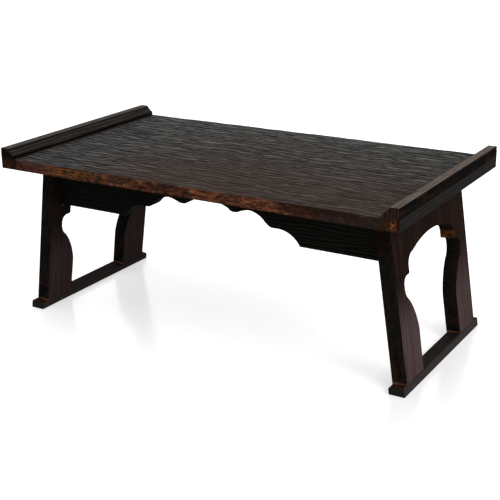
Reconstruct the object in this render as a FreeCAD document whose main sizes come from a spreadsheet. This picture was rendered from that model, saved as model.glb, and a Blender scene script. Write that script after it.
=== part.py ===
"""Chabudai: a low tea table of burnt paulownia whose two leg frames fold in under the top.

Frame: X along the table (left is -X), Y from front to back, Z up, origin on the floor under the
middle of the top. The top is four planks between two end cleats, each cleat with a moulded lip.
Under it a front and a back apron and two end rails make a fixed frame. Each leg frame hangs on two
butt hinges from its end rail, at the level of the aprons' lower edges: standing, it leans on the
rail; folding, its foot swings in and up until it lies flat under the aprons.

Everything on a leg frame, and the rail it hangs from, is drawn in that leg's own splayed frame:
origin on the fold axis, x away from the table through the leg's thickness, z up along the leg.
"""
import os

import FreeCAD
import Part
import Sketcher

V = FreeCAD.Vector
doc = FreeCAD.newDocument("chabudai")
sheet = doc.addObject("Spreadsheet::Sheet", "Sheet")

SIZES = (
    # the top
    ("length_all", 600, "length over the two cleats"),
    ("depth_all", 327, "depth of the top"),
    ("height_all", 251, "floor to the flat of the lips"),
    ("board_thick", 15, "planks and cleats"),
    ("cleat_wide", 27, "end cleat, along the table"),
    ("tongue_thick", 5, "tongue on the planks' ends"),
    ("tongue_long", 8, "how far the tongue enters the cleat"),
    ("tongue_stop", 18, "tongue starts this far from the front and back edges"),
    ("groove_spare", 0.5, "every groove deeper and longer than its tongue"),
    ("lip_rise", 14, "lip above the planks"),
    ("lip_flat", 12.5, "flat on top of the lip, from the table's end"),
    ("cove_wide", 9.5, "shallow cove beside the flat, along the table"),
    ("cove_down", 9.5, "how far the cove comes down, to a step"),
    ("cove_rise", 0.6, "how hollow the cove is"),
    ("bead_high", 4, "bead along the lip's outer top edge"),
    ("bead_in", 1, "its ends behind the lip's outer face"),
    ("bead_rise", 1, "roundness of the bead"),
    ("quirk_high", 1, "sunk line under the bead"),
    ("lip_tongue_in", 13, "middle of the tongue under the lip from the table's end"),
    ("lip_tongue_thick", 7, "tongue under the lip"),
    ("lip_tongue_deep", 5, "how far it enters the cleat"),
    # the aprons and the end rails
    ("apron_thick", 18, "front and back apron"),
    ("apron_deep", 62.8, "apron beside the legs"),
    ("apron_recess", 17, "apron face behind the leg's edge"),
    ("apron_tongue_half", 200, "half length of the tongue on the apron's top edge"),
    ("apron_tongue_thick", 6, "that tongue, across the apron"),
    ("apron_tongue_high", 6, "how far it enters the planks"),
    ("cut_half", 138.2, "half length of the shaped cut in the apron"),
    ("cusp_half", 102, "outer end of the cusp"),
    ("cusp_deep", 43.9, "apron left at the cusp"),
    ("step_half", 96.5, "inner end of the cusp"),
    ("swell_half", 87, "where the ogee turns"),
    ("swell_deep", 37.6, "apron left there"),
    ("crest_half", 63, "top of the ogee"),
    ("crest_deep", 25.6, "apron left there"),
    ("drop_outer", 46.5, "outer side of the pendant"),
    ("drop_inner", 35, "inner side of the pendant"),
    ("drop_deep", 30.4, "apron left at the pendant's sides"),
    ("arch_foot", 24.5, "half length of the middle arch"),
    ("arch_deep", 24.5, "apron left at that arch's ends"),
    ("lobe_rise", 6, "rise of the lobe beside the cut's corner"),
    ("swell_rise", 0.7, "rise of the ogee's lower turn"),
    ("crest_rise", 2.8, "rise of the ogee's upper turn"),
    ("hollow_rise", 0.8, "rise of the hollows beside the pendant"),
    ("drop_rise", 0.9, "rise of the pendant's round end"),
    ("arch_rise", 5.9, "rise of the middle arch"),
    ("rail_thick", 20, "end rail"),
    ("rail_arch_half", 68, "half width of the arch under the end rail"),
    ("rail_arch_rise", 17, "rise of that arch"),
    ("apron_tenon_thick", 6, "apron tenon, across the apron"),
    ("apron_tenon_high", 34, "apron tenon, up the apron"),
    ("apron_tenon_long", 10, "apron tenon, into the end rail"),
    ("apron_tenon_up", 14, "apron tenon above the apron's lower edge"),
    # the leg frames
    ("splay", 8.5, "lean of the legs, degrees"),
    ("end_overhang", 34, "top's end beyond the leg's outer face"),
    ("leg_thick", 20, "leg boards"),
    ("leg_wide", 234, "leg frame over its two uprights"),
    ("leg_gap", 0.2, "running gap between leg and end rail"),
    ("top_gap", 0.3, "gap between the planks and the leg's swinging top edge"),
    ("fold_clear", 0.8, "fold axis below the aprons' lower edges"),
    ("seam_half", 60, "glue seam between upright and arch board"),
    ("shoulder_up", 164, "arch at the seam, up the leg"),
    ("shoulder_rise", 4.2, "rise of the arch's shoulder"),
    ("leg_arch_rise", 10.5, "rise of the arch between the seams"),
    ("nose_half", 75.5, "half width between the noses"),
    ("nose_top", 150, "top of the nose"),
    ("nose_low", 140, "underside of the nose"),
    ("nose_round", 2.5, "rounded tip of the nose"),
    ("nose_ledge", 84, "end of the nose's flat underside"),
    ("throat_rise", 2.3, "rise of the hollow under the nose"),
    ("waist_half", 93, "half width at the uprights' waists"),
    ("waist_top", 131, "top of the waist"),
    ("waist_low", 126, "foot of the waist"),
    ("waist_rise", 2.4, "rise of the hollow under the waist"),
    ("elbow_half", 84, "where hollow turns to belly"),
    ("elbow_up", 109.3, "height of that turn"),
    ("belly_half", 63.5, "half width at the widest of the uprights"),
    ("belly_up", 62, "height there"),
    ("belly_rise", 3.8, "rise of the belly"),
    ("ankle_half", 64.5, "half width just above the foot rails"),
    ("foot_thick", 8.8, "foot rail on its inner side"),
    ("foot_long", 258, "foot rail"),
    ("foot_proud", 0.7, "foot rail past the leg's faces"),
    ("foot_chamfer", 1, "chamfer along the foot rail's top"),
    ("tenon_thick", 9, "upright's stub tenon, across the leg"),
    ("tenon_wide", 30, "stub tenon, along the foot rail"),
    ("tenon_long", 5, "stub tenon, into the foot rail"),
    ("tenon_in", 14, "stub tenon from the leg's outer edge"),
    ("mortise_spare", 0.2, "mortise larger and deeper than its tenon"),
    # the hinges
    ("hinge_half", 86, "middle of each hinge from the table's middle"),
    ("hinge_long", 24, "hinge leaf along the pin"),
    ("leaf_wide", 15, "hinge leaf from the pin's axis"),
    ("leaf_thick", 1.2, "hinge leaf"),
    ("leaf_let_in", 0.05, "recess deeper and wider than the leaf"),
    ("barrel_radius", 2.4, "hinge barrel"),
    ("barrel_clear", 0.4, "groove round the barrel"),
    ("pin_radius", 1.2, "hinge pin"),
    ("pin_clear", 0.04, "turning clearance in the leg leaf's knuckle"),
    ("knuckle_long", 10, "middle knuckle, on the leg leaf"),
    ("knuckle_gap", 0.25, "gap between knuckles"),
    ("cut_past", 1, "how far a cut starts outside the wood"),
)
PLANKS = 4

ALIASES = {alias for alias, size, meaning in SIZES}
for row, (alias, size, meaning) in enumerate(SIZES, 1):
    sheet.set(f"A{row}", meaning)
    sheet.set(f"B{row}", str(size))
    sheet.setAlias(f"B{row}", alias)
doc.recompute()

# Levels and places worked out from the sizes.
OUTER_END = "(length_all/2)"
SEAM_END = "(length_all/2 - cleat_wide)"
BOARD_TOP = "(height_all - lip_rise)"
UNDERSIDE = "(height_all - lip_rise - board_thick)"
APRON_LOW = "(height_all - lip_rise - board_thick - apron_deep)"
AXIS_UP = "(height_all - lip_rise - board_thick - apron_deep - fold_clear)"
AXIS_OUT = ("(length_all/2 - end_overhang - leg_thick/cos(splay)"
            " + (apron_deep + fold_clear)*tan(splay))")
APRON_FACE = "(leg_wide/2 - apron_recess)"
APRON_BACK = "(leg_wide/2 - apron_recess - apron_thick)"
APRON_MIDDLE = "(leg_wide/2 - apron_recess - apron_thick/2)"


def bound(text):
    """An expression on the sheet's cells, from one written with their plain names."""
    words, word = [], ""
    for letter in text + " ":
        if letter.isalnum() or letter == "_":
            word += letter
            continue
        words.append("Sheet." + word if word in ALIASES else word)
        words.append(letter)
        word = ""
    return "".join(words).strip()


def value(text):
    return float(sheet.evalExpression(bound(text)))


def minus(text):
    return text if text == "0" else f"(-({text}))"


def mirrored(path):
    """The same outline on the other side of its upright axis."""
    return [(minus(across), up) + tuple(minus(rise) for rise in rises)
            for across, up, *rises in path]


def side_path(side, path):
    return path if side > 0 else mirrored(path)


def side_size(side, text):
    return text if side > 0 else minus(text)


def in_leg(out, up):
    """A place in the table's X and Z as x and z in the right leg's frame."""
    dx, dz = f"(({out}) - {AXIS_OUT})", f"(({up}) - {AXIS_UP})"
    return (f"({dx}*cos(splay) + {dz}*sin(splay))", f"({dz}*cos(splay) - {dx}*sin(splay))")


def up_leg(height):
    """A height along the leg's inner face, from the floor, as z in the leg's frame."""
    return f"({height} - {AXIS_UP}/cos(splay))"


def leg_face_at(up):
    """X of the end rail's outer face, which follows the right leg's inner face, at a given height."""
    return f"({AXIS_OUT} + ({AXIS_UP} - ({up}))*tan(splay) - leg_gap/cos(splay))"


RAIL_INNER = f"({leg_face_at(UNDERSIDE)} - rail_thick)"

# The leg's inner top edge swings up past the axis on its way out, so it stands no further from the
# axis than the planks do.
LEG_TOP = f"({UNDERSIDE} - top_gap - {AXIS_UP})"
FOOT_TOP = up_leg("foot_thick")
QUARTER_ROUND = "(1 - sqrt(1/2))"  # rise of a quarter circle of radius 1


# ---- drawing and solid operations ----

def new_body(label):
    body = doc.addObject("PartDesign::Body", label)
    body.Label = label
    return body


def sketch_on(body, plane, offset=None):
    """An empty sketch on one of the body's own planes, or at an offset along its normal."""
    origin_plane = next(item for item in body.Origin.OriginFeatures if item.Role == plane)
    result = body.newObject("Sketcher::SketchObject", "Sketch")
    result.AttachmentSupport = [(origin_plane, "")]
    result.MapMode = "FlatFace"
    if offset:
        result.setExpression("AttachmentOffset.Base.z", bound(offset))
    return result


def tie(result, kind, geometry, point, text):
    """Hold one coordinate of a point at an expression, or on the axis where that is 0."""
    if text == "0":
        axis = -2 if kind == "DistanceX" else -1
        result.addConstraint(Sketcher.Constraint("PointOnObject", geometry, point, axis))
        return
    number = result.addConstraint(Sketcher.Constraint(kind, -1, 1, geometry, point, value(text)))
    name = f"{kind}{geometry}_{point}"
    result.renameConstraint(number, name)
    result.setExpression(f"Constraints.{name}", bound(text))


def outline(body, plane, path, offset=None):
    """A closed outline. Each corner is (across, up), or (across, up, rise) where an arc leads to the
    next corner; the rise is positive when the arc lies to the left of the straight way there."""
    result = sketch_on(body, plane, offset)
    corners = [V(value(corner[0]), value(corner[1]), 0) for corner in path]
    first_points, last_points = [], []
    for index, corner in enumerate(path):
        here, there = corners[index], corners[(index + 1) % len(path)]
        forward = True
        if len(corner) == 2:
            result.addGeometry(Part.LineSegment(here, there))
        else:
            rise = value(corner[2])
            along = (there - here).normalize()
            middle = (here + there) * 0.5 + V(-along.y, along.x, 0) * rise
            forward = rise < 0
            ends = (here, there) if forward else (there, here)
            result.addGeometry(Part.Arc(ends[0], middle, ends[1]))
        first_points.append(1 if forward else 2)
        last_points.append(2 if forward else 1)
    for index, corner in enumerate(path):
        following = (index + 1) % len(path)
        result.addConstraint(Sketcher.Constraint("Coincident", index, last_points[index],
                                                 following, first_points[following]))
        tie(result, "DistanceX", index, first_points[index], corner[0])
        tie(result, "DistanceY", index, first_points[index], corner[1])
        if len(corner) == 3:
            across = f"(({path[following][0]}) - ({corner[0]}))"
            upward = f"(({path[following][1]}) - ({corner[1]}))"
            radius = f"(({across}^2 + {upward}^2)/(8*abs({corner[2]})) + abs({corner[2]})/2)"
            number = result.addConstraint(Sketcher.Constraint("Radius", index, value(radius)))
            result.renameConstraint(number, f"Radius{index}")
            result.setExpression(f"Constraints.Radius{index}", bound(radius))
    return result


def rectangle(body, plane, low, high, offset=None):
    path = [(low[0], low[1]), (high[0], low[1]), (high[0], high[1]), (low[0], high[1])]
    return outline(body, plane, path, offset)


def circles(body, plane, centres, radius, offset=None):
    result = sketch_on(body, plane, offset)
    for index, (across, up) in enumerate(centres):
        centre = V(value(across), value(up), 0)
        result.addGeometry(Part.Circle(centre, V(0, 0, 1), value(radius)))
        tie(result, "DistanceX", index, 3, across)
        tie(result, "DistanceY", index, 3, up)
        number = result.addConstraint(Sketcher.Constraint("Radius", index, value(radius)))
        result.renameConstraint(number, f"Radius{index}")
        result.setExpression(f"Constraints.Radius{index}", bound(radius))
    return result


def extrude(body, kind, sketch, length, way):
    """A Pad or Pocket: way is 'both' about the sketch, or +1 or -1 along the sketch's normal."""
    feature = body.newObject(f"PartDesign::{kind}", kind)
    feature.Profile = sketch
    if length is None:
        feature.Type = "ThroughAll"
    else:
        feature.setExpression("Length", bound(length))
    if way == "both":
        feature.SideType = "Symmetric"
    else:
        feature.Reversed = (way < 0) if kind == "Pad" else (way > 0)
    return feature


def pad(body, sketch, length, way="both"):
    return extrude(body, "Pad", sketch, length, way)


def pocket(body, sketch, length=None, way="both"):
    """Every pocket has to take wood away: the volumes before and after are compared."""
    doc.recompute()
    before = body.Shape.Volume
    feature = extrude(body, "Pocket", sketch, length, way)
    doc.recompute()
    if not body.Shape.Volume < before - 1e-6:
        raise RuntimeError(f"a pocket in {body.Label} cuts nothing")
    return feature


def seat_in_leg(item, side):
    """Give an item drawn in a leg's frame its place on the table."""
    item.Placement = FreeCAD.Placement(V(0, 0, 0), FreeCAD.Rotation(V(0, 1, 0), -side * value("splay")))
    item.setExpression("Placement.Rotation.Angle", bound(side_size(-side, "splay") + "*1deg"))
    item.setExpression("Placement.Base.x", bound(side_size(side, AXIS_OUT)))
    item.setExpression("Placement.Base.z", bound(AXIS_UP))


NODES = []


def keep(item):
    NODES.append(item)
    return item


# ---- the top ----

FRONT_BACK = {"front": -1, "back": 1}
LEFT_RIGHT = {"left": -1, "right": 1}


def plank(number):
    """One plank: a stopped tongue on each end, and a groove for the apron under an outer plank."""
    body = new_body(f"top_plank_{number}")
    low = f"(-depth_all/2 + {number - 1}*depth_all/{PLANKS})"
    high = f"(-depth_all/2 + {number}*depth_all/{PLANKS})"
    pad(body, rectangle(body, "YZ_Plane", (low, UNDERSIDE), (high, BOARD_TOP)), f"2*{SEAM_END}")
    tongue_low = f"({low} + tongue_stop)" if number == 1 else low
    tongue_high = f"({high} - tongue_stop)" if number == PLANKS else high
    bottom = f"({UNDERSIDE} + (board_thick - tongue_thick)/2)"
    top = f"({bottom} + tongue_thick)"
    tongue = rectangle(body, "YZ_Plane", (tongue_low, bottom), (tongue_high, top))
    pad(body, tongue, f"2*({SEAM_END} + tongue_long)")
    for side, outer_plank in ((-1, 1), (1, PLANKS)):
        if number == outer_plank:
            groove = apron_tongue(body, side_size(side, APRON_MIDDLE), "groove_spare")
            pocket(body, groove, "apron_tongue_high + groove_spare", +1)
    return keep(body)


def apron_tongue(body, middle, spare):
    """The plan of the tongue between an apron and the plank above it."""
    return rectangle(body, "XY_Plane",
                     (f"(-apron_tongue_half - {spare})", f"({middle} - apron_tongue_thick/2)"),
                     (f"(apron_tongue_half + {spare})", f"({middle} + apron_tongue_thick/2)"), UNDERSIDE)


def cleat(name, side):
    """The end cleat: a groove in its side for the planks' tongues, one on top for the lip's."""
    body = new_body(f"{name}_cleat")
    section = [(SEAM_END, UNDERSIDE), (OUTER_END, UNDERSIDE),
               (OUTER_END, BOARD_TOP), (SEAM_END, BOARD_TOP)]
    pad(body, outline(body, "XZ_Plane", side_path(side, section)), "depth_all")
    bottom = f"({UNDERSIDE} + (board_thick - tongue_thick)/2)"
    reach = f"({SEAM_END} + tongue_long + groove_spare)"
    mouth, top = f"({SEAM_END} - cut_past)", f"({bottom} + tongue_thick)"
    groove = [(mouth, bottom), (reach, bottom), (reach, top), (mouth, top)]
    drawn = outline(body, "XZ_Plane", side_path(side, groove))
    pocket(body, drawn, "depth_all - 2*tongue_stop + 2*groove_spare")
    pocket(body, lip_tongue(body, side, "groove_spare"), "depth_all - 2*tongue_stop + 2*groove_spare")
    return keep(body)


def lip_tongue(body, side, spare):
    """The section of the tongue between a lip and its cleat."""
    outer = "(length_all/2 - lip_tongue_in + lip_tongue_thick/2)"
    inner = f"({outer} - lip_tongue_thick)"
    foot = f"({BOARD_TOP} - lip_tongue_deep - {spare})"
    section = [(inner, foot), (outer, foot), (outer, BOARD_TOP), (inner, BOARD_TOP)]
    return outline(body, "XZ_Plane", side_path(side, section))


def lip(name, side):
    """The moulded lip: outer bead, flat top, shallow cove and a step down to the cleat."""
    body = new_body(f"{name}_lip")
    cove_foot = "(length_all/2 - lip_flat - cove_wide)"
    bead_ends = f"({OUTER_END} - bead_in)"
    section = [
        (cove_foot, BOARD_TOP),
        (OUTER_END, BOARD_TOP),
        (OUTER_END, "(height_all - bead_high - quirk_high)"),
        (bead_ends, "(height_all - bead_high)", "(-bead_rise)"),
        (bead_ends, "height_all"),
        ("(length_all/2 - lip_flat)", "height_all", "cove_rise"),
        (cove_foot, "(height_all - cove_down)"),
    ]
    pad(body, outline(body, "XZ_Plane", side_path(side, section)), "depth_all")
    pad(body, lip_tongue(body, side, "0"), "depth_all - 2*tongue_stop")
    return keep(body)


# ---- the aprons and the end rails ----

def apron_outline():
    """Half the shaped lower edge, from the right leg to the middle, then its mirror image."""
    def edge(half, deep):
        return (half, f"({UNDERSIDE} - {deep})")

    right = [
        edge("cut_half", "apron_deep") + ("(-lobe_rise)",),
        edge("cusp_half", "cusp_deep"),
        edge("step_half", "cusp_deep") + ("swell_rise",),
        edge("swell_half", "swell_deep") + ("(-crest_rise)",),
        edge("crest_half", "crest_deep") + ("(-hollow_rise)",),
        edge("drop_outer", "drop_deep") + ("drop_rise",),
        edge("drop_inner", "drop_deep") + ("(-hollow_rise)",),
        edge("arch_foot", "arch_deep") + ("(-arch_rise)",),
    ]
    rises = [corner[2:] for corner in right]
    left = []
    for index in range(len(right) - 1, -1, -1):
        half, level = right[index][:2]
        left.append((minus(half), level) + (rises[index - 1] if index else ()))
    blank = [(minus(RAIL_INNER), APRON_LOW), (minus(RAIL_INNER), UNDERSIDE),
             (RAIL_INNER, UNDERSIDE), (RAIL_INNER, APRON_LOW)]
    return blank + right + left


def apron_tenon(spare):
    """The side view of the tenon on an apron's right end."""
    start, end = f"({RAIL_INNER} - cut_past)", f"({RAIL_INNER} + apron_tenon_long + {spare})"
    low = f"({APRON_LOW} + apron_tenon_up - {spare})"
    high = f"({APRON_LOW} + apron_tenon_up + apron_tenon_high + {spare})"
    return [(start, low), (end, low), (end, high), (start, high)]


def apron(name, side):
    """A scalloped apron: a tenon on each end and a tongue on top."""
    body = new_body(f"{name}_apron")
    body.setExpression("Placement.Base.y", bound(side_size(side, APRON_BACK)))
    pad(body, outline(body, "XZ_Plane", apron_outline()), "apron_thick", -side)
    middle = side_size(side, "(apron_thick/2)")
    for rail_side in LEFT_RIGHT.values():
        tenon = outline(body, "XZ_Plane", side_path(rail_side, apron_tenon("0")), minus(middle))
        pad(body, tenon, "apron_tenon_thick")
    pad(body, apron_tongue(body, middle, "0"), "apron_tongue_high", +1)
    return keep(body)


def end_rail(name, side):
    """The rail that the leg hangs from and leans on, mortised for the aprons' tenons and drawn in
    the leg's frame."""
    body = new_body(f"{name}_end_rail")
    section = [in_leg(RAIL_INNER, APRON_LOW), in_leg(leg_face_at(APRON_LOW), APRON_LOW),
               in_leg(leg_face_at(UNDERSIDE), UNDERSIDE), in_leg(RAIL_INNER, UNDERSIDE)]
    pad(body, outline(body, "XZ_Plane", side_path(side, section)), f"2*{APRON_FACE}")
    mortise = side_path(side, [in_leg(out, up) for out, up in apron_tenon("mortise_spare")])
    for end in FRONT_BACK.values():
        drawn = outline(body, "XZ_Plane", mortise, minus(side_size(end, APRON_MIDDLE)))
        pocket(body, drawn, "apron_tenon_thick + 2*mortise_spare")
    arch = [("(-rail_arch_half)", "(-2*fold_clear - rail_thick*tan(splay))"),
            ("rail_arch_half", "(-2*fold_clear - rail_thick*tan(splay))"),
            ("rail_arch_half", "fold_clear", "(-rail_arch_rise)"), ("(-rail_arch_half)", "fold_clear")]
    pocket(body, outline(body, "YZ_Plane", arch))
    hinge_seats(body, ("(-hinge_half)", "hinge_half"), side_size(side, "(-leg_gap)"), -side)
    seat_in_leg(body, side)
    return keep(body)


def hinge_seats(body, places, face, way):
    """Recesses for the hinge leaves and grooves round the barrels, cut into a face of the leg's
    frame; way is the direction into the wood."""
    for place in places:
        ends = [f"({place} {sign} hinge_long/2 {sign} leaf_let_in)" for sign in "-+"]
        leaf = rectangle(body, "YZ_Plane", (ends[0], "(-leaf_let_in)"),
                         (ends[1], "(leaf_wide + leaf_let_in)"), face)
        pocket(body, leaf, "leaf_thick + leaf_let_in", way)
        groove = circles(body, "XZ_Plane", [("0", "0")], "(barrel_radius + barrel_clear)", minus(place))
        pocket(body, groove, "hinge_long + 2*leaf_let_in")


# ---- the leg frames ----

def upright_outline():
    """The back upright: a straight outer edge, and shoulder, nose, waist and belly inside."""
    outer = "(leg_wide/2)"
    return [
        (outer, FOOT_TOP),
        (outer, LEG_TOP),
        ("seam_half", LEG_TOP),
        ("seam_half", up_leg("shoulder_up"), "shoulder_rise"),
        ("nose_half", up_leg("nose_top")),
        ("nose_half", up_leg("(nose_low + nose_round)"), f"(-{QUARTER_ROUND}*nose_round)"),
        ("(nose_half + nose_round)", up_leg("nose_low")),
        ("nose_ledge", up_leg("nose_low"), "throat_rise"),
        ("waist_half", up_leg("waist_top")),
        ("waist_half", up_leg("waist_low"), "waist_rise"),
        ("elbow_half", up_leg("elbow_up"), "(-belly_rise)"),
        ("belly_half", up_leg("belly_up")),
        ("ankle_half", FOOT_TOP),
    ]


def bevel_top(body, side):
    """Cut the leg's top level with the underside of the planks."""
    beyond, above = "(leg_thick + cut_past)", f"({LEG_TOP} + cut_past)"
    wedge = [("0", LEG_TOP), (beyond, f"({LEG_TOP} - {beyond}*tan(splay))"),
             (beyond, above), ("0", above)]
    pocket(body, outline(body, "XZ_Plane", side_path(side, wedge)))


def tenon_corners(end, spare):
    """Where an upright's stub tenon lies across the leg; end is -1 at the front, 1 at the back."""
    outer = f"(leg_wide/2 - tenon_in + {spare})"
    inner = f"(leg_wide/2 - tenon_in - tenon_wide - {spare})"
    return (inner, outer) if end > 0 else (minus(outer), minus(inner))


def upright(name, side, place, end):
    body = new_body(f"{name}_{place}_upright")
    path = upright_outline() if end > 0 else mirrored(upright_outline())
    pad(body, outline(body, "YZ_Plane", path), "leg_thick", side)
    inner, outer = tenon_corners(end, "0")
    face = side_size(side, "((leg_thick - tenon_thick)/2)")
    tenon = rectangle(body, "YZ_Plane", (inner, f"({FOOT_TOP} - tenon_long)"), (outer, FOOT_TOP), face)
    pad(body, tenon, "tenon_thick", side)
    bevel_top(body, side)
    hinge_seats(body, (side_size(end, "hinge_half"),), None, side)
    seat_in_leg(body, side)
    return keep(body)


def arch_board(name, side):
    """The board between the uprights, its grain upright too, over the arch."""
    body = new_body(f"{name}_arch_board")
    path = [("(-seam_half)", up_leg("shoulder_up"), "leg_arch_rise"), ("seam_half", up_leg("shoulder_up")),
            ("seam_half", LEG_TOP), ("(-seam_half)", LEG_TOP)]
    pad(body, outline(body, "YZ_Plane", path), "leg_thick", side)
    bevel_top(body, side)
    seat_in_leg(body, side)
    return keep(body)


def foot_rail(name, side):
    """The foot rail: square to the leg on top, level on the floor, mortised for the uprights."""
    body = new_body(f"{name}_foot_rail")
    inner, outer = "(-foot_proud)", "(leg_thick + foot_proud)"

    def floor_under(out):
        return f"(-({AXIS_UP} + ({out})*sin(splay))/cos(splay))"
    shoulder = f"({FOOT_TOP} - foot_chamfer)"
    section = [(inner, floor_under(inner)), (outer, floor_under(outer)), (outer, shoulder),
               ("(leg_thick + foot_proud - foot_chamfer)", FOOT_TOP),
               ("(foot_chamfer - foot_proud)", FOOT_TOP), (inner, shoulder)]
    pad(body, outline(body, "XZ_Plane", side_path(side, section)), "foot_long")
    across = [f"((leg_thick {sign} tenon_thick)/2 {sign} mortise_spare)" for sign in "-+"]
    for end in FRONT_BACK.values():
        low, high = tenon_corners(end, "mortise_spare")
        path = [(across[0], low), (across[1], low), (across[1], high), (across[0], high)]
        drawn = outline(body, "XY_Plane", side_path(side, path), FOOT_TOP)
        pocket(body, drawn, "tenon_long + mortise_spare", -1)
    seat_in_leg(body, side)
    return keep(body)


# ---- the hinges ----

def hinge_leaf(name, side, place, end, on_leg):
    """A butt hinge leaf: the leg's has the middle knuckle, the rail's the two outer ones."""
    body = new_body(f"{name}_{place}_hinge_{'leg' if on_leg else 'rail'}_leaf")
    middle = side_size(end, "hinge_half")
    if on_leg:
        faces = ("0", "leaf_thick")
    else:
        faces = ("(-leg_gap - leaf_thick)", "(-leg_gap)")
    plate = [(faces[0], "0"), (faces[1], "0"), (faces[1], "leaf_wide"), (faces[0], "leaf_wide")]
    offset = minus(middle)
    pad(body, outline(body, "XZ_Plane", side_path(side, plate), offset), "hinge_long")
    pad(body, circles(body, "XZ_Plane", [("0", "0")], "barrel_radius", offset), "hinge_long")
    clear = "(barrel_radius + knuckle_gap)"
    if on_leg:
        for sign in (-1, 1):
            start = f"({offset} {'+' if sign > 0 else '-'} knuckle_long/2)"
            pocket(body, circles(body, "XZ_Plane", [("0", "0")], clear, start), None, sign)
    else:
        pocket(body, circles(body, "XZ_Plane", [("0", "0")], clear, offset), "knuckle_long + 2*knuckle_gap")
    bore = "(pin_radius + pin_clear)" if on_leg else "pin_radius"
    pocket(body, circles(body, "XZ_Plane", [("0", "0")], bore, offset), "2*hinge_long")
    seat_in_leg(body, side)
    return keep(body)


def hinge_pin(name, side, place, end):
    body = new_body(f"{name}_{place}_hinge_pin")
    offset = minus(side_size(end, "hinge_half"))
    pad(body, circles(body, "XZ_Plane", [("0", "0")], "pin_radius", offset), "hinge_long")
    seat_in_leg(body, side)
    return keep(body)


# ---- the whole table ----

for number in range(1, PLANKS + 1):
    plank(number)
for place, end in FRONT_BACK.items():
    apron(place, end)
for name, side in LEFT_RIGHT.items():
    cleat(name, side)
    lip(name, side)
    end_rail(name, side)
    arch_board(name, side)
    foot_rail(name, side)
    for place, end in FRONT_BACK.items():
        upright(name, side, place, end)
        for on_leg in (True, False):
            hinge_leaf(name, side, place, end, on_leg)
        hinge_pin(name, side, place, end)

doc.recompute()
for item in doc.Objects:
    if "Invalid" in item.State or "Error" in item.State:
        raise RuntimeError(f"{item.Name} failed: {item.State}")
os.makedirs("parts", exist_ok=True)
for node in NODES:
    if node.Shape.isNull() or not node.Shape.isValid():
        raise RuntimeError(f"{node.Label} has no sound shape")
    node.Shape.exportStep(os.path.join("parts", f"{node.Label}.step"))
print(f"{len(NODES)} nodes, fold axis at X {value(AXIS_OUT):.3f}, Z {value(AXIS_UP):.3f}")
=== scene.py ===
"""A low folding tea table of burnt and brushed paulownia, standing open on a pale floor."""
import math

import bpy
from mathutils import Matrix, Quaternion, Vector


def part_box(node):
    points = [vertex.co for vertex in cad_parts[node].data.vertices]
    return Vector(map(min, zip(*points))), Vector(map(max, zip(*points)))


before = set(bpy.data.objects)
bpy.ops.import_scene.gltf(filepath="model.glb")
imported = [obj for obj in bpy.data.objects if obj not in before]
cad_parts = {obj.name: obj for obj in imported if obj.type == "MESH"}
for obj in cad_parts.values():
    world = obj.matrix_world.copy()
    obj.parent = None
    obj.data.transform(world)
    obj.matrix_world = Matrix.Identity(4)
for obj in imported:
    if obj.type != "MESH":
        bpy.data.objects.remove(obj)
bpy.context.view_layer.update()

# ---- sizes, in metres ----

MM = 0.001
LEFT, RIGHT = -1, 1                    # the way along x
JOINED = 0.001 * MM                    # corners of a mesh this near each other are one
SPLAY = math.radians(8.5)              # lean of the legs
LIP_END, LIP_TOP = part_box("right_lip")[1].x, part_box("right_lip")[1].z
TABLE_END, BOARD_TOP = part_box("right_cleat")[1].x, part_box("top_plank_1")[1].z
FOOT_END, FOOT_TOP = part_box("right_foot_rail")[1].y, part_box("right_foot_rail")[1].z
NOSE_LOW, NOSE_TOP = 0.1385, 0.1585    # the noses of the uprights, above the floor
# these two also set where the board's painted grey reflection grows to the left
LEFT_FROM, LEFT_FULL = -0.06, -0.22    # along the board, where hands rub it less and less
LONG_LINES = 30                        # lines of brush and roll are this many times their spacing


# ---- making materials ----

def linear(code):
    """An sRGB hex colour as the linear colour that a shader takes."""
    channels = [int(code[place:place + 2], 16) / 255 for place in (1, 3, 5)]
    return [c / 12.92 if c <= 0.04045 else ((c + 0.055) / 1.055) ** 2.4 for c in channels] + [1.0]


def add(tree, kind, inputs=(), **settings):
    """Add a node and give back its first output: settings are the node's own, inputs give each
    socket a hex colour, a value or the output that it follows. The kind is a shader node's name
    without ShaderNode, or another node's whole name. Sockets that share a name go by number: in a
    Mix, 0 is the share of the second, 2 and 3 are values, and 6 and 7 colours."""
    node = tree.nodes.new(kind if "Node" in kind else "ShaderNode" + kind)
    for name, setting in settings.items():
        setattr(node, name, setting)
    for name, source in dict(inputs).items():
        if isinstance(source, bpy.types.NodeSocket):
            tree.links.new(source, node.inputs[name])
        else:
            node.inputs[name].default_value = linear(source) if isinstance(source, str) else source
    return next((output for output in node.outputs if output.enabled), None)


def new_finish(name):
    """An empty material and its tree."""
    material = bpy.data.materials.new(name)
    material.use_nodes = True
    material.node_tree.nodes.clear()
    return material, material.node_tree


def stained(tree, colour, *coats):
    """Coats of colour over a first one. Each coat is a pattern, the levels of it at which the coat
    starts and is full, how much it covers there, and its colour."""
    for pattern, start, full, cover, coat in coats:
        share = add(tree, "MapRange", {"Value": pattern, "From Min": start, "From Max": full,
                                       "To Max": cover}, interpolation_type="SMOOTHSTEP")
        colour = add(tree, "Mix", {0: share, 6: colour, 7: coat}, data_type="RGBA")
    return colour


def wood_surface(tree, colour, reliefs, roughness, specular):
    """The face of the wood, waxed or charred dull. Each relief is a 0 to 1 pattern and its depth."""
    normal = None
    for pattern, depth in reliefs:
        inputs = {"Height": pattern, "Distance": depth}
        if normal:
            inputs["Normal"] = normal
        normal = add(tree, "Bump", inputs)
    face = add(tree, "BsdfPrincipled", {"Base Color": colour, "Roughness": roughness,
                                        "Specular IOR Level": specular, "Normal": normal})
    add(tree, "OutputMaterial", {"Surface": face})


# ---- what paulownia shows when its face is charred and brushed out ----

ALONG_X = (0, 0, 0)
ALONG_Y = (0, 0, math.pi / 2)


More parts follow.
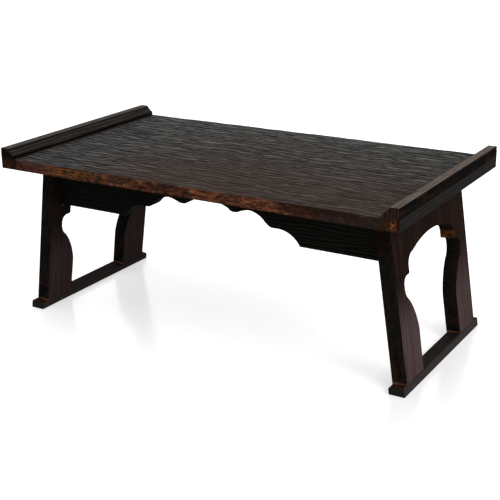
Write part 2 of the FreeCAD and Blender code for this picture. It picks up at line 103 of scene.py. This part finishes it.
def place_on(tree):
    """Where a point of the piece lies on the table's axes, for a material or for a modifier."""
    if tree.type == "GEOMETRY":
        return add(tree, "GeometryNodeInputPosition")
    return add(tree, "TexCoord").node.outputs["Object"]


def in_grain(tree, turn, stretch):
    """Places on the piece with x along the grain, drawn out along it by the stretch."""
    turned = add(tree, "VectorRotate", {"Vector": place_on(tree), "Rotation": turn},
                 rotation_type="EULER_XYZ", invert=True)
    return add(tree, "VectorMath", {0: turned, 1: (stretch, 1, 1)}, operation="DIVIDE")


def growth_rings(tree, turn, spacing, wander, lump, stretch, axis="Y"):
    """Growth rings: 1 on the hard late wood that the brush leaves proud, 0 in the soft hollows.
    They wander sideways in lumps of the given size."""
    place = in_grain(tree, turn, stretch)
    drift = add(tree, "TexNoise", {"Vector": place, "Scale": 1 / lump, "Detail": 3.0}).node
    bent = add(tree, "VectorMath", {0: drift.outputs["Color"], 1: (wander,) * 3, 2: place},
               operation="MULTIPLY_ADD")
    wave_scale = math.pi / 10 / spacing    # at scale 1 the waves are pi / 10 apart
    return add(tree, "TexWave", {"Vector": bent, "Scale": wave_scale},
               bands_direction=axis).node.outputs["Fac"]


def brushed_fibre(tree, turn, apart=2 * MM):
    """Fine lines left by the wire brush, drawn 2 mm apart or more, coarser than their real
    0.5 mm, so that they show."""
    return add(tree, "TexNoise", {"Vector": in_grain(tree, turn, LONG_LINES), "Scale": 1 / apart,
                                  "Detail": 3.0, "Roughness": 0.6})


def mottle(tree, turn, lump, stretch):
    """Uneven charring, in lumps of the given size across the grain."""
    return add(tree, "TexNoise", {"Vector": in_grain(tree, turn, stretch), "Scale": 1 / lump,
                                  "Detail": 3.0, "Roughness": 0.6})


def curled_figure(tree, turn):
    """Growth rings cut almost flat, which curl round like the lines of a map, 4 mm apart."""
    return growth_rings(tree, turn, spacing=4 * MM, wander=14 * MM, lump=12 * MM, stretch=1.5)


def facing(tree, axis, way=0):
    """How squarely the surface faces along one of the table's axes: forwards for 1, backwards for
    -1 and both for 0."""
    normal = add(tree, "TexCoord").node.outputs["Normal"]
    part = add(tree, "SeparateXYZ", {"Vector": normal}).node.outputs[axis]
    return add(tree, "Math", {0: part, 1: way}, operation="MULTIPLY" if way else "ABSOLUTE")


def place_along(tree, axis, way=1):
    """The place along one of the table's axes, counted backwards for -1, or how far it is from the
    middle for 0."""
    part = add(tree, "SeparateXYZ", {"Vector": place_on(tree)}).node.outputs[axis]
    return add(tree, "Math", {0: part, 1: way}, operation="MULTIPLY" if way else "ABSOLUTE")


def singed_edge(tree, turn):
    """A sawn edge of a board, only singed: red-brown, flecked dark where the brush dug in. The
    flame left it golden over the left leg and charred it at the right end. Gives the colour and
    the flecks."""
    fleck = mottle(tree, turn, lump=3 * MM, stretch=2.6)
    glow = mottle(tree, turn, lump=16 * MM, stretch=2.5)
    streak = growth_rings(tree, turn, spacing=5 * MM, wander=10 * MM, lump=14 * MM, stretch=7, axis="Z")
    along = place_along(tree, "X")
    over_leg, past_leg, right_end = -0.12, -0.20, 0.13    # where these stretches start
    red = stained(tree, "#3E2114", (glow, 0.35, 0.65, 0.9, "#6E3E26"),
                  (streak, 0.3, 0.8, 0.5, "#241109"), (fleck, 0.50, 0.40, 0.85, "#140905"),
                  (fleck, 0.56, 0.72, 0.5, "#A06A4A"))
    golden = stained(tree, "#683C1C", (fleck, 0.55, 0.72, 0.5, "#AE713A"),
                     (streak, 0.45, 0.90, 0.65, "#1C0F08"), (fleck, 0.51, 0.41, 0.85, "#1E0F07"))
    charred = stained(tree, "#0B0604", (streak, 0.4, 0.8, 0.5, "#24140E"),
                      (fleck, 0.56, 0.70, 0.6, "#4E3024"))
    colour = stained(tree, red, (along, over_leg, over_leg - 0.05, 0.9, golden),
                     (along, past_leg, past_leg - 0.04, 1.0, red),
                     (along, past_leg, past_leg - 0.04, 0.7, "#30140C"),
                     (along, right_end, right_end + 0.08, 0.9, charred))
    return colour, fleck


def rubbed_smooth(tree):
    """1 where hands have rubbed the board, along the front but for the left end, down to 0; there
    the board is left brown, with little of its painted grey reflection.
    """
    front_from, front_full = 0.08, -0.10
    front = add(tree, "MapRange", {"Value": place_along(tree, "Y"), "From Min": front_from,
                                   "From Max": front_full})
    right = add(tree, "MapRange", {"Value": place_along(tree, "X"), "From Min": LEFT_FULL,
                                   "From Max": LEFT_FROM})
    return add(tree, "Math", {0: front, 1: right}, operation="MULTIPLY")


def board_ripples(tree, rubbed):
    """The ripples that the brush leaves in the board, 7 mm apart: 1 on the hard rings and 0 in the
    hollows. Also their relief, which is half worn down where hands have rubbed it."""
    lumps = mottle(tree, ALONG_X, lump=4 * MM, stretch=6)
    rings = growth_rings(tree, ALONG_X, spacing=7 * MM, wander=22 * MM, lump=14 * MM, stretch=4.5)
    wave = add(tree, "Mix", {0: 0.45, 2: lumps, 3: rings})
    worn = add(tree, "Math", {0: rubbed, 1: 0.5}, operation="MULTIPLY")
    return wave, add(tree, "Mix", {0: worn, 2: wave, 3: 0.5})


def board_finish():
    """The planks: burnt, wire-brushed along the grain and waxed. The hard rings stand out as
    short ripples, 7 mm apart, that shine, with a painted highlight on them; the hollows between
    them stay dark."""
    material, tree = new_finish("burnt brushed paulownia board")
    fibre = brushed_fibre(tree, ALONG_X)
    char = mottle(tree, ALONG_X, lump=70 * MM, stretch=2)
    rubbed = rubbed_smooth(tree)
    wave, relief = board_ripples(tree, rubbed)
    # slate grey, in part a painted reflection over the brown wood; lighter to the back, a painted
    # highlight, and greyer to the left, a painted reflection; rubbed smooth and brown along the
    # front but for the left, where little of the painted grey is kept; the rings lighter, a painted
    # highlight
    back_from, back_full = 0.06, 0.15
    colour = stained(tree, "#2C2927", (char, 0.45, 0.65, 0.5, "#2C211C"),
                     (place_along(tree, "Y"), back_from, back_full, 0.5, "#454544"),
                     (place_along(tree, "X"), LEFT_FROM, LEFT_FULL, 0.8, "#2F3131"),
                     (wave, 0.54, 0.70, 0.5, "#5C5A56"))
    colour = stained(tree, colour, (wave, 0.48, 0.37, 0.95, "#070605"),
                     (rubbed, 0, 1, 0.8, "#2A1910"), (fibre, 0.45, 0.70, 0.35, "#120D0B"))
    edge, fleck = singed_edge(tree, ALONG_X)
    on_edge = facing(tree, "Y")
    colour = stained(tree, colour, (on_edge, 0.5, 0.8, 1.0, edge))
    relief = add(tree, "Mix", {0: on_edge, 2: relief, 3: fleck})
    roughness = add(tree, "MapRange", {"Value": wave, "From Min": 0.3, "From Max": 0.7,
                                       "To Min": 0.85, "To Max": 0.5})
    # the planks' own ripples are as deep as real ones; these 1.7 mm are added so that they show
    wood_surface(tree, colour, [(relief, 1.7 * MM), (fibre, 0.2 * MM)], roughness, specular=0.08)
    return material


def cleat_finish(name, side, singed, glowing):
    """The end cleats: a smooth slate-grey end face, and end grain at the front and back, singed
    towards the planks and glowing out to the corner, where the flame left it bare."""
    material, tree = new_finish(name)
    rings = growth_rings(tree, ALONG_Y, spacing=6 * MM, wander=14 * MM, lump=22 * MM, stretch=5, axis="Z")
    fibre = brushed_fibre(tree, ALONG_Y)
    patch = mottle(tree, ALONG_Y, lump=12 * MM, stretch=4)
    top = stained(tree, "#1D1816", (rings, 0.3, 0.9, 0.5, "#37302C"),
                  (fibre, 0.4, 0.7, 0.4, "#0E0B0A"))
    end_face = stained(tree, "#141312", (rings, 0.4, 1.0, 0.3, "#262422"),
                       (patch, 0.55, 0.70, 0.4, "#2C1A15"), (fibre, 0.45, 0.7, 0.5, "#0A0A0A"))
    pores = mottle(tree, ALONG_Y, lump=2 * MM, stretch=1)
    out = place_along(tree, "X", side)
    glow = mottle(tree, ALONG_Y, lump=4 * MM, stretch=1)
    bare = stained(tree, singed, (glow, 0.42, 0.60, 0.8, glowing), (glow, 0.60, 0.72, 0.5, "#9C7454"))
    end_grain = stained(tree, singed, (out, TABLE_END - 20 * MM, TABLE_END - 9 * MM, 1.0, bare),
                        (place_along(tree, "Z"), LIP_TOP - 19 * MM, LIP_TOP - 14 * MM, 0.7, singed),
                        (pores, 0.50, 0.38, 0.7, "#1C0C07"),
                        (out, TABLE_END - 5 * MM, TABLE_END - 3.5 * MM, 0.9, "#1C0F12"))
    colour = stained(tree, top, (facing(tree, "X"), 0.6, 0.9, 1.0, end_face),
                     (facing(tree, "Y"), 0.5, 0.8, 1.0, end_grain))
    wood_surface(tree, colour, [(rings, 0.3 * MM), (fibre, 0.2 * MM)], roughness=0.75, specular=0.03)
    return material


def lip_finish(name, rubbed, rubbed_sheen_line, end):
    """The moulded lips: rubbed satin on the flat, lightened with a painted sheen, dark brown in the
    cove with a painted shade in the crease below the flat and a black painted shade along its
    foot, and almost black outside, with a few red-brown patches where the char has worn."""
    material, tree = new_finish(name)
    lines = growth_rings(tree, ALONG_Y, spacing=4 * MM, wander=10 * MM, lump=25 * MM, stretch=8)
    fibre = brushed_fibre(tree, ALONG_Y)
    patch = mottle(tree, ALONG_Y, lump=13 * MM, stretch=3)
    cove = stained(tree, "#24201E", (lines, 0.3, 0.9, 0.7, "#3C3734"),
                   (patch, 0.55, 0.7, 0.4, "#33201A"))
    # the flat's rubbed colours are lightened with a painted sheen
    flat = stained(tree, rubbed, (lines, 0.2, 0.9, 0.5, rubbed_sheen_line),
                   (patch, 0.50, 0.36, 0.4, "#3C342F"))
    outside = stained(tree, "#080706", (lines, 0.4, 0.9, 0.5, "#110F0E"),
                      (patch, 0.53, 0.62, 0.75, "#2A1610"))
    end_grain = stained(tree, end, (lines, 0.35, 0.75, 0.8, "#171413"),
                        (patch, 0.5, 0.7, 0.5, "#33221C"))
    height = place_along(tree, "Z")
    # painted shade: black along the foot of the cove and dark in the crease below the flat
    colour = stained(tree, cove, (height, BOARD_TOP + 4.4 * MM, BOARD_TOP + 2.8 * MM, 0.9, "#0A0605"),
                     (height, LIP_TOP - 4 * MM, LIP_TOP - 2 * MM, 0.7, "#0E0B0A"),
                     (height, LIP_TOP - 1.2 * MM, LIP_TOP - 0.5 * MM, 1.0, flat),
                     (place_along(tree, "X", 0), LIP_END - 1.4 * MM, LIP_END - 0.8 * MM, 1.0, outside),
                     (facing(tree, "Y"), 0.5, 0.8, 1.0, end_grain),
                     (fibre, 0.45, 0.75, 0.45, "#0E0A09"))
    wood_surface(tree, colour, [(lines, 0.25 * MM), (fibre, 0.25 * MM)], roughness=0.75, specular=0.006)
    return material


def frame_finish(name, turn):
    """Aprons and end rails: burnt black, ribbed along the grain by the brush, and worn a little
    on the ribs towards the right."""
    material, tree = new_finish(name)
    ribs = growth_rings(tree, turn, spacing=4.5 * MM, wander=14 * MM, lump=16 * MM, stretch=8, axis="Z")
    fibre = brushed_fibre(tree, turn)
    patch = mottle(tree, turn, lump=25 * MM, stretch=4)
    colour = stained(tree, "#080807", (ribs, 0.3, 0.9, 0.6, "#151512"),
                     (patch, 0.55, 0.7, 0.4, "#17120F"), (fibre, 0.5, 0.8, 0.4, "#1D1A16"))
    worn = stained(tree, colour, (ribs, 0.2, 0.9, 0.6, "#1C1C18"))
    right_from, right_full = 0.02, 0.18
    colour = stained(tree, colour, (place_along(tree, "X"), right_from, right_full, 1.0, worn))
    wood_surface(tree, colour, [(ribs, 0.4 * MM), (fibre, 0.25 * MM)], roughness=0.85, specular=0.02)
    return material


def leg_finish(name, side, charred, shade_under_top):
    """Uprights and arch boards, grain upright: dark brown under the top and rubbed to a mauve grey
    towards the foot, with fine lines of bare wood. The narrow faces are charred, in one colour
    and in a painted shade under the top and on the noses' upper third. The inner faces carry a
    painted shade, almost black up under the top."""
    material, tree = new_finish(name)
    up_leg = (0, -math.pi / 2 - side * SPLAY, 0)
    lines = growth_rings(tree, up_leg, spacing=6.5 * MM, wander=16 * MM, lump=24 * MM, stretch=12)
    fibre = brushed_fibre(tree, up_leg, 3.5 * MM)
    patch = mottle(tree, up_leg, lump=22 * MM, stretch=5)
    height = place_along(tree, "Z")
    # the broad faces, a little browner to the back
    dark_above, bare_below = 0.145, 0.065
    back_from, back_full = 0.04, 0.12
    upper = stained(tree, "#0E0705", (lines, 0.3, 0.9, 0.6, "#25140D"),
                    (patch, 0.50, 0.70, 0.5, "#2A1710"))
    lower = stained(tree, "#473939", (lines, 0.3, 0.9, 0.35, "#5A4B4C"),
                    (patch, 0.50, 0.68, 0.5, "#3A2B28"))
    colour = stained(tree, upper, (height, dark_above, bare_below, 1.0, lower),
                     (fibre, 0.50, 0.38, 0.45, "#0E0907"), (fibre, 0.56, 0.70, 0.3, "#482E24"),
                     (place_along(tree, "Y"), back_from, back_full, 0.3, "#1C110D"))
    # the inner faces, under the table: a painted shade, browner, and almost black up under the top
    inner_shade_from, inner_shade_full = 0.155, 0.185
    shaded_inner = stained(tree, colour, (height, inner_shade_from, inner_shade_full, 0.8, "#0A0806"))
    inward = facing(tree, "X", -side)
    colour = stained(tree, colour, (inward, 0.5, 0.9, 1.0, shaded_inner), (inward, 0.5, 0.9, 0.5, "#1C110D"))
    # the narrow faces: charred, with curled figure that reddens towards the foot, a bare line
    # over the joint there, a painted shade under the top, and noses that are bare below a
    # painted shade on their upper third; the outer ones have no nose
    curls = curled_figure(tree, up_leg)
    knot = mottle(tree, up_leg, lump=4 * MM, stretch=1.5)
    bare = stained(tree, "#2A180E", (knot, 0.44, 0.60, 0.9, "#7E4A22"),
                   (knot, 0.62, 0.70, 0.8, "#C08A58"), (fibre, 0.50, 0.40, 0.5, "#1A0F08"))
    # the charred upper third of each nose is a painted shade
    nose = stained(tree, charred, (height, NOSE_LOW - 1.5 * MM, NOSE_LOW, 1.0, bare),
                   (height, NOSE_TOP - 8 * MM, NOSE_TOP - 6 * MM, 1.0, charred))
    shaded = stained(tree, shade_under_top, (knot, 0.5, 0.7, 0.6, "#3A2116"))
    by_foot = stained(tree, charred, (curls, 0.3, 0.9, 0.7, "#2E1C17"))
    outer = 0.095
    foot_from, foot_full, narrow_shade_from, narrow_shade_full = 0.070, 0.015, 0.150, 0.195
    narrow = stained(tree, nose, (place_along(tree, "Y", 0), outer, outer + 5 * MM, 1.0, charred),
                     (curls, 0.4, 0.9, 0.35, "#221E1A"),
                     (patch, 0.50, 0.65, 0.5, "#1E120E"),
                     (height, foot_from, foot_full, 1.0, by_foot),
                     (height, narrow_shade_from, narrow_shade_full, 0.85, shaded),
                     (height, FOOT_TOP + 1.4 * MM, FOOT_TOP + 0.5 * MM, 0.65, "#7C5440"))
    colour = stained(tree, colour, (facing(tree, "X"), 0.93, 0.85, 1.0, narrow))
    wood_surface(tree, colour, [(lines, 0.3 * MM), (fibre, 0.3 * MM)], roughness=0.8, specular=0.02)
    return material


def foot_finish():
    """The foot rails: rubbed to a brownish grey outside, darker at the ends, and charred on top
    with a red-brown curled figure that glows at the ends."""
    material, tree = new_finish("burnt paulownia foot")
    lines = growth_rings(tree, ALONG_Y, spacing=3.5 * MM, wander=8 * MM, lump=20 * MM, stretch=8, axis="Z")
    fibre = brushed_fibre(tree, ALONG_Y)
    curls = curled_figure(tree, ALONG_Y)
    top = stained(tree, "#151412", (curls, 0.4, 0.9, 0.6, "#33211D"))
    top = stained(tree, top, (place_along(tree, "Y", 0), FOOT_END - 20 * MM, FOOT_END - 12 * MM, 1.0,
                              stained(tree, "#17110D", (curls, 0.3, 0.8, 0.8, "#402413"))))
    outside = stained(tree, "#272322", (lines, 0.3, 0.9, 0.7, "#423B38"),
                      (fibre, 0.45, 0.75, 0.5, "#151312"))
    colour = stained(tree, outside, (facing(tree, "Z"), 0.80, 0.95, 1.0, top),
                     (facing(tree, "Y"), 0.5, 0.8, 0.8, "#161815"))
    wood_surface(tree, colour, [(lines, 0.25 * MM), (fibre, 0.2 * MM)], roughness=0.75, specular=0.04)
    return material


def brass_finish():
    """Rolled brass gone dull and brown with age: the rolling leaves fine lines along the leaf,
    drawn 0.8 mm apart and so coarser than real, and damp leaves almost black stains."""
    material, tree = new_finish("aged rolled brass")
    rolled = add(tree, "TexNoise", {"Vector": in_grain(tree, ALONG_Y, LONG_LINES),
                                    "Scale": 1 / (0.8 * MM)})
    stain = mottle(tree, ALONG_Y, lump=6 * MM, stretch=1)
    colour = stained(tree, "#3B2F20", (stain, 0.55, 0.35, 1.0, "#1C1610"))
    roughness = add(tree, "MapRange", {"Value": stain, "To Min": 0.60, "To Max": 0.45})
    relief = add(tree, "Bump", {"Height": rolled, "Distance": 0.05 * MM})
    face = add(tree, "BsdfPrincipled", {"Base Color": colour, "Roughness": roughness,
                                        "Metallic": 1.0, "Normal": relief})
    add(tree, "OutputMaterial", {"Surface": face})
    return material


# ---- each node's finish, eased edges and ripples ----

board, foot, brass = board_finish(), foot_finish(), brass_finish()
# the flats' colours hold a painted sheen, stronger on the right lip
lips = {"left": lip_finish("burnt paulownia left lip",
                           rubbed="#4A4643", rubbed_sheen_line="#5E5955", end="#120F0E"),
        "right": lip_finish("burnt paulownia right lip",
                            rubbed="#5B524C", rubbed_sheen_line="#756A62", end="#33241E")}
cleats = {"left": cleat_finish("burnt paulownia left cleat", LEFT,
                               singed="#26120B", glowing="#46200F"),
          "right": cleat_finish("burnt paulownia right cleat", RIGHT,
                                singed="#2A1F12", glowing="#7A401C")}
apron = frame_finish("burnt paulownia apron", ALONG_X)
rail = frame_finish("burnt paulownia end rail", ALONG_Y)
# each leg's charred colour, and a painted shade for its narrow faces under the top
legs = {"left": leg_finish("burnt paulownia left leg", LEFT,
                           charred="#0A0A08", shade_under_top="#050505"),
        "right": leg_finish("burnt paulownia right leg", RIGHT,
                            charred="#110F0D", shade_under_top="#100907")}


def finish_of(name):
    """The finish for a node, by a word in its name."""
    side = name.split("_")[0]
    leg = legs.get(side)
    finishes = {"plank": board, "hinge": brass, "foot_rail": foot, "apron": apron, "end_rail": rail,
                "cleat": cleats.get(side), "lip": lips.get(side), "upright": leg, "arch_board": leg}
    return next(finish for word, finish in finishes.items() if word in name)


def ease_edges(piece, radius):
    """Sanded arrises: join the mesh, clear its flat triangles, then round every sharp edge."""
    weld = piece.modifiers.new("joined", "WELD")
    weld.merge_threshold = JOINED
    flat = piece.modifiers.new("flats", "DECIMATE")
    flat.decimate_type = "DISSOLVE"
    flat.angle_limit = math.radians(0.5)
    bevel = piece.modifiers.new("arris", "BEVEL")
    bevel.width = radius
    bevel.segments = 2
    bevel.limit_method = "ANGLE"
    bevel.angle_limit = math.radians(30)
    bevel.harden_normals = True


def brushed_relief():
    """Cuts the ripples into a plank, 0.05 to 0.6 mm deep: a sheet over the whole board, with the
    brushed face as its underside, is taken away from it."""
    tree = bpy.data.node_groups.new("brushed relief", "GeometryNodeTree")
    for way in ("INPUT", "OUTPUT"):
        tree.interface.new_socket("Geometry", in_out=way, socket_type="NodeSocketGeometry")
    # a little larger than the board, in faces that are long and narrow, as the ripples are
    length, width, thick = 0.56, 0.34, 5 * MM
    step_along, step_across = 6 * MM, 1.5 * MM
    sheet = add(tree, "GeometryNodeMeshGrid", {"Size X": length, "Size Y": width,
                                               "Vertices X": round(length / step_along),
                                               "Vertices Y": round(width / step_across)})
    sheet = add(tree, "GeometryNodeSetPosition", {"Geometry": sheet, "Offset": (0, 0, BOARD_TOP)})
    relief = board_ripples(tree, rubbed_smooth(tree))[1]
    hollow, ring = 0.38, 0.62    # from these levels on, the hollows and the rings are flat
    depth = add(tree, "MapRange", {"Value": relief, "From Min": hollow, "From Max": ring,
                                   "To Min": -0.6 * MM, "To Max": -0.05 * MM})
    drop = add(tree, "CombineXYZ", {"Z": depth})
    face = add(tree, "GeometryNodeSetPosition", {"Geometry": sheet, "Offset": drop})
    face = add(tree, "GeometryNodeSetShadeSmooth", {"Geometry": face, "Shade Smooth": True})
    upper = add(tree, "GeometryNodeExtrudeMesh", {"Mesh": face, "Offset": (0, 0, thick),
                                                  "Individual": False})
    under = add(tree, "GeometryNodeFlipFaces", {"Mesh": face})
    block = add(tree, "GeometryNodeJoinGeometry", {"Geometry": upper})
    tree.links.new(under, block.node.inputs["Geometry"])
    # the cut needs both meshes joined up
    plank = add(tree, "NodeGroupInput")
    block, plank = [add(tree, "GeometryNodeMergeByDistance", {"Geometry": mesh, "Distance": JOINED})
                    for mesh in (block, plank)]
    cut = add(tree, "GeometryNodeMeshBoolean", {"Mesh 1": plank, "Mesh 2": block},
              operation="DIFFERENCE", solver="MANIFOLD")
    # the cut faces take the plank's own slot
    cut = add(tree, "GeometryNodeSetMaterialIndex", {"Geometry": cut, "Material Index": 0})
    add(tree, "NodeGroupOutput", {"Geometry": cut})
    return tree


ripples_cut = brushed_relief()
for name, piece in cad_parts.items():
    for slot in piece.material_slots:
        slot.link = "OBJECT"
        slot.material = finish_of(name)
    if "foot_rail" in name:
        ease_edges(piece, 1.5 * MM)
    elif "plank" in name:
        piece.modifiers.new("brushed", "NODES").node_group = ripples_cut
    elif "hinge" not in name:
        ease_edges(piece, 0.5 * MM)


# ---- floor, light and camera ----

def white_to_camera(tree):
    """1 for rays from the camera, and for those that gloss or glass sends on, and 0 for light."""
    ray = add(tree, "LightPath").node.outputs
    seen = add(tree, "Math", {0: ray["Is Camera Ray"], 1: ray["Is Glossy Ray"]}, operation="MAXIMUM")
    return add(tree, "Math", {0: seen, 1: ray["Is Transmission Ray"]}, operation="MAXIMUM")


def make_floor():
    """A wide white floor with a faint gloss. It is whitened for the camera, so only shade shows."""
    bpy.ops.mesh.primitive_plane_add(size=24, location=(0, 0, -0.1 * MM))
    floor = bpy.context.object
    floor.name = "floor"
    material, tree = new_finish("white floor")
    # whitened by 0.2 less beside the right foot, where a lamp lights the floor most, so that the
    # gloss shows that foot too
    usual, less = 0.55, 0.2
    beside_from, beside_full, past_from, past_full = 0.24, 0.30, 0.6, 1.2
    along = place_along(tree, "X")
    whiter = add(tree, "MapRange", {"Value": along, "From Min": beside_from, "From Max": beside_full,
                                    "To Min": usual, "To Max": usual - less})
    beyond = add(tree, "MapRange", {"Value": along, "From Min": past_from, "From Max": past_full,
                                    "To Max": less})
    whiter = add(tree, "Math", {0: whiter, 1: beyond}, operation="ADD")
    strength = add(tree, "Math", {0: white_to_camera(tree), 1: whiter}, operation="MULTIPLY")
    base = add(tree, "BsdfPrincipled", {"Base Color": "#F2F2F2", "Roughness": 0.18,
                                        "Specular IOR Level": 0.9})
    white = add(tree, "Emission", {"Strength": strength})
    add(tree, "OutputMaterial", {"Surface": add(tree, "AddShader", {0: base, 1: white})})
    floor.data.materials.append(material)


def make_world():
    """Even studio light, with the backdrop white to the camera and in reflections."""
    world = bpy.data.worlds.new("studio")
    bpy.context.scene.world = world
    world.use_nodes = True
    tree = world.node_tree
    tree.nodes.clear()
    light, white = 0.5, 1.0
    strength = add(tree, "MapRange", {"Value": white_to_camera(tree), "To Min": light, "To Max": white})
    sky = add(tree, "Background", {"Color": "#FFFFFF", "Strength": strength})
    add(tree, "OutputWorld", {"Surface": sky})


def make_lamp(name, place, size, power):
    """A square soft box aimed at the middle of the table."""
    lamp = bpy.data.lights.new(name, "AREA")
    lamp.size, lamp.energy = size, power
    holder = bpy.data.objects.new(name, lamp)
    holder.location = place
    aim = Vector((0, 0, 0.15)) - Vector(place)
    holder.rotation_mode = "QUATERNION"
    holder.rotation_quaternion = aim.to_track_quat("-Z", "Y")
    bpy.context.scene.collection.objects.link(holder)


def make_camera():
    """Right of the front, a little above the table, with a short telephoto."""
    camera = bpy.data.cameras.new("camera")
    camera.sensor_width, camera.lens = 36.0, 77.37
    holder = bpy.data.objects.new("camera", camera)
    holder.location = (0.7516, -1.2279, 0.6077)
    turn, tilt, roll = math.radians(31.350), math.radians(19.395), math.radians(-0.829)
    look = Vector((-math.sin(turn) * math.cos(tilt), math.cos(turn) * math.cos(tilt), -math.sin(tilt)))
    holder.rotation_mode = "QUATERNION"
    holder.rotation_quaternion = look.to_track_quat("-Z", "Y") @ Quaternion((0, 0, 1), roll)
    bpy.context.scene.collection.objects.link(holder)
    bpy.context.scene.camera = holder


make_floor()
make_world()
make_lamp("soft box right", place=(2.2, -0.6, 1.6), size=1.6, power=35)
make_lamp("soft box above", place=(-0.3, 0.5, 2.4), size=2.0, power=18)
make_camera()
bpy.context.scene.view_settings.view_transform = "Standard"
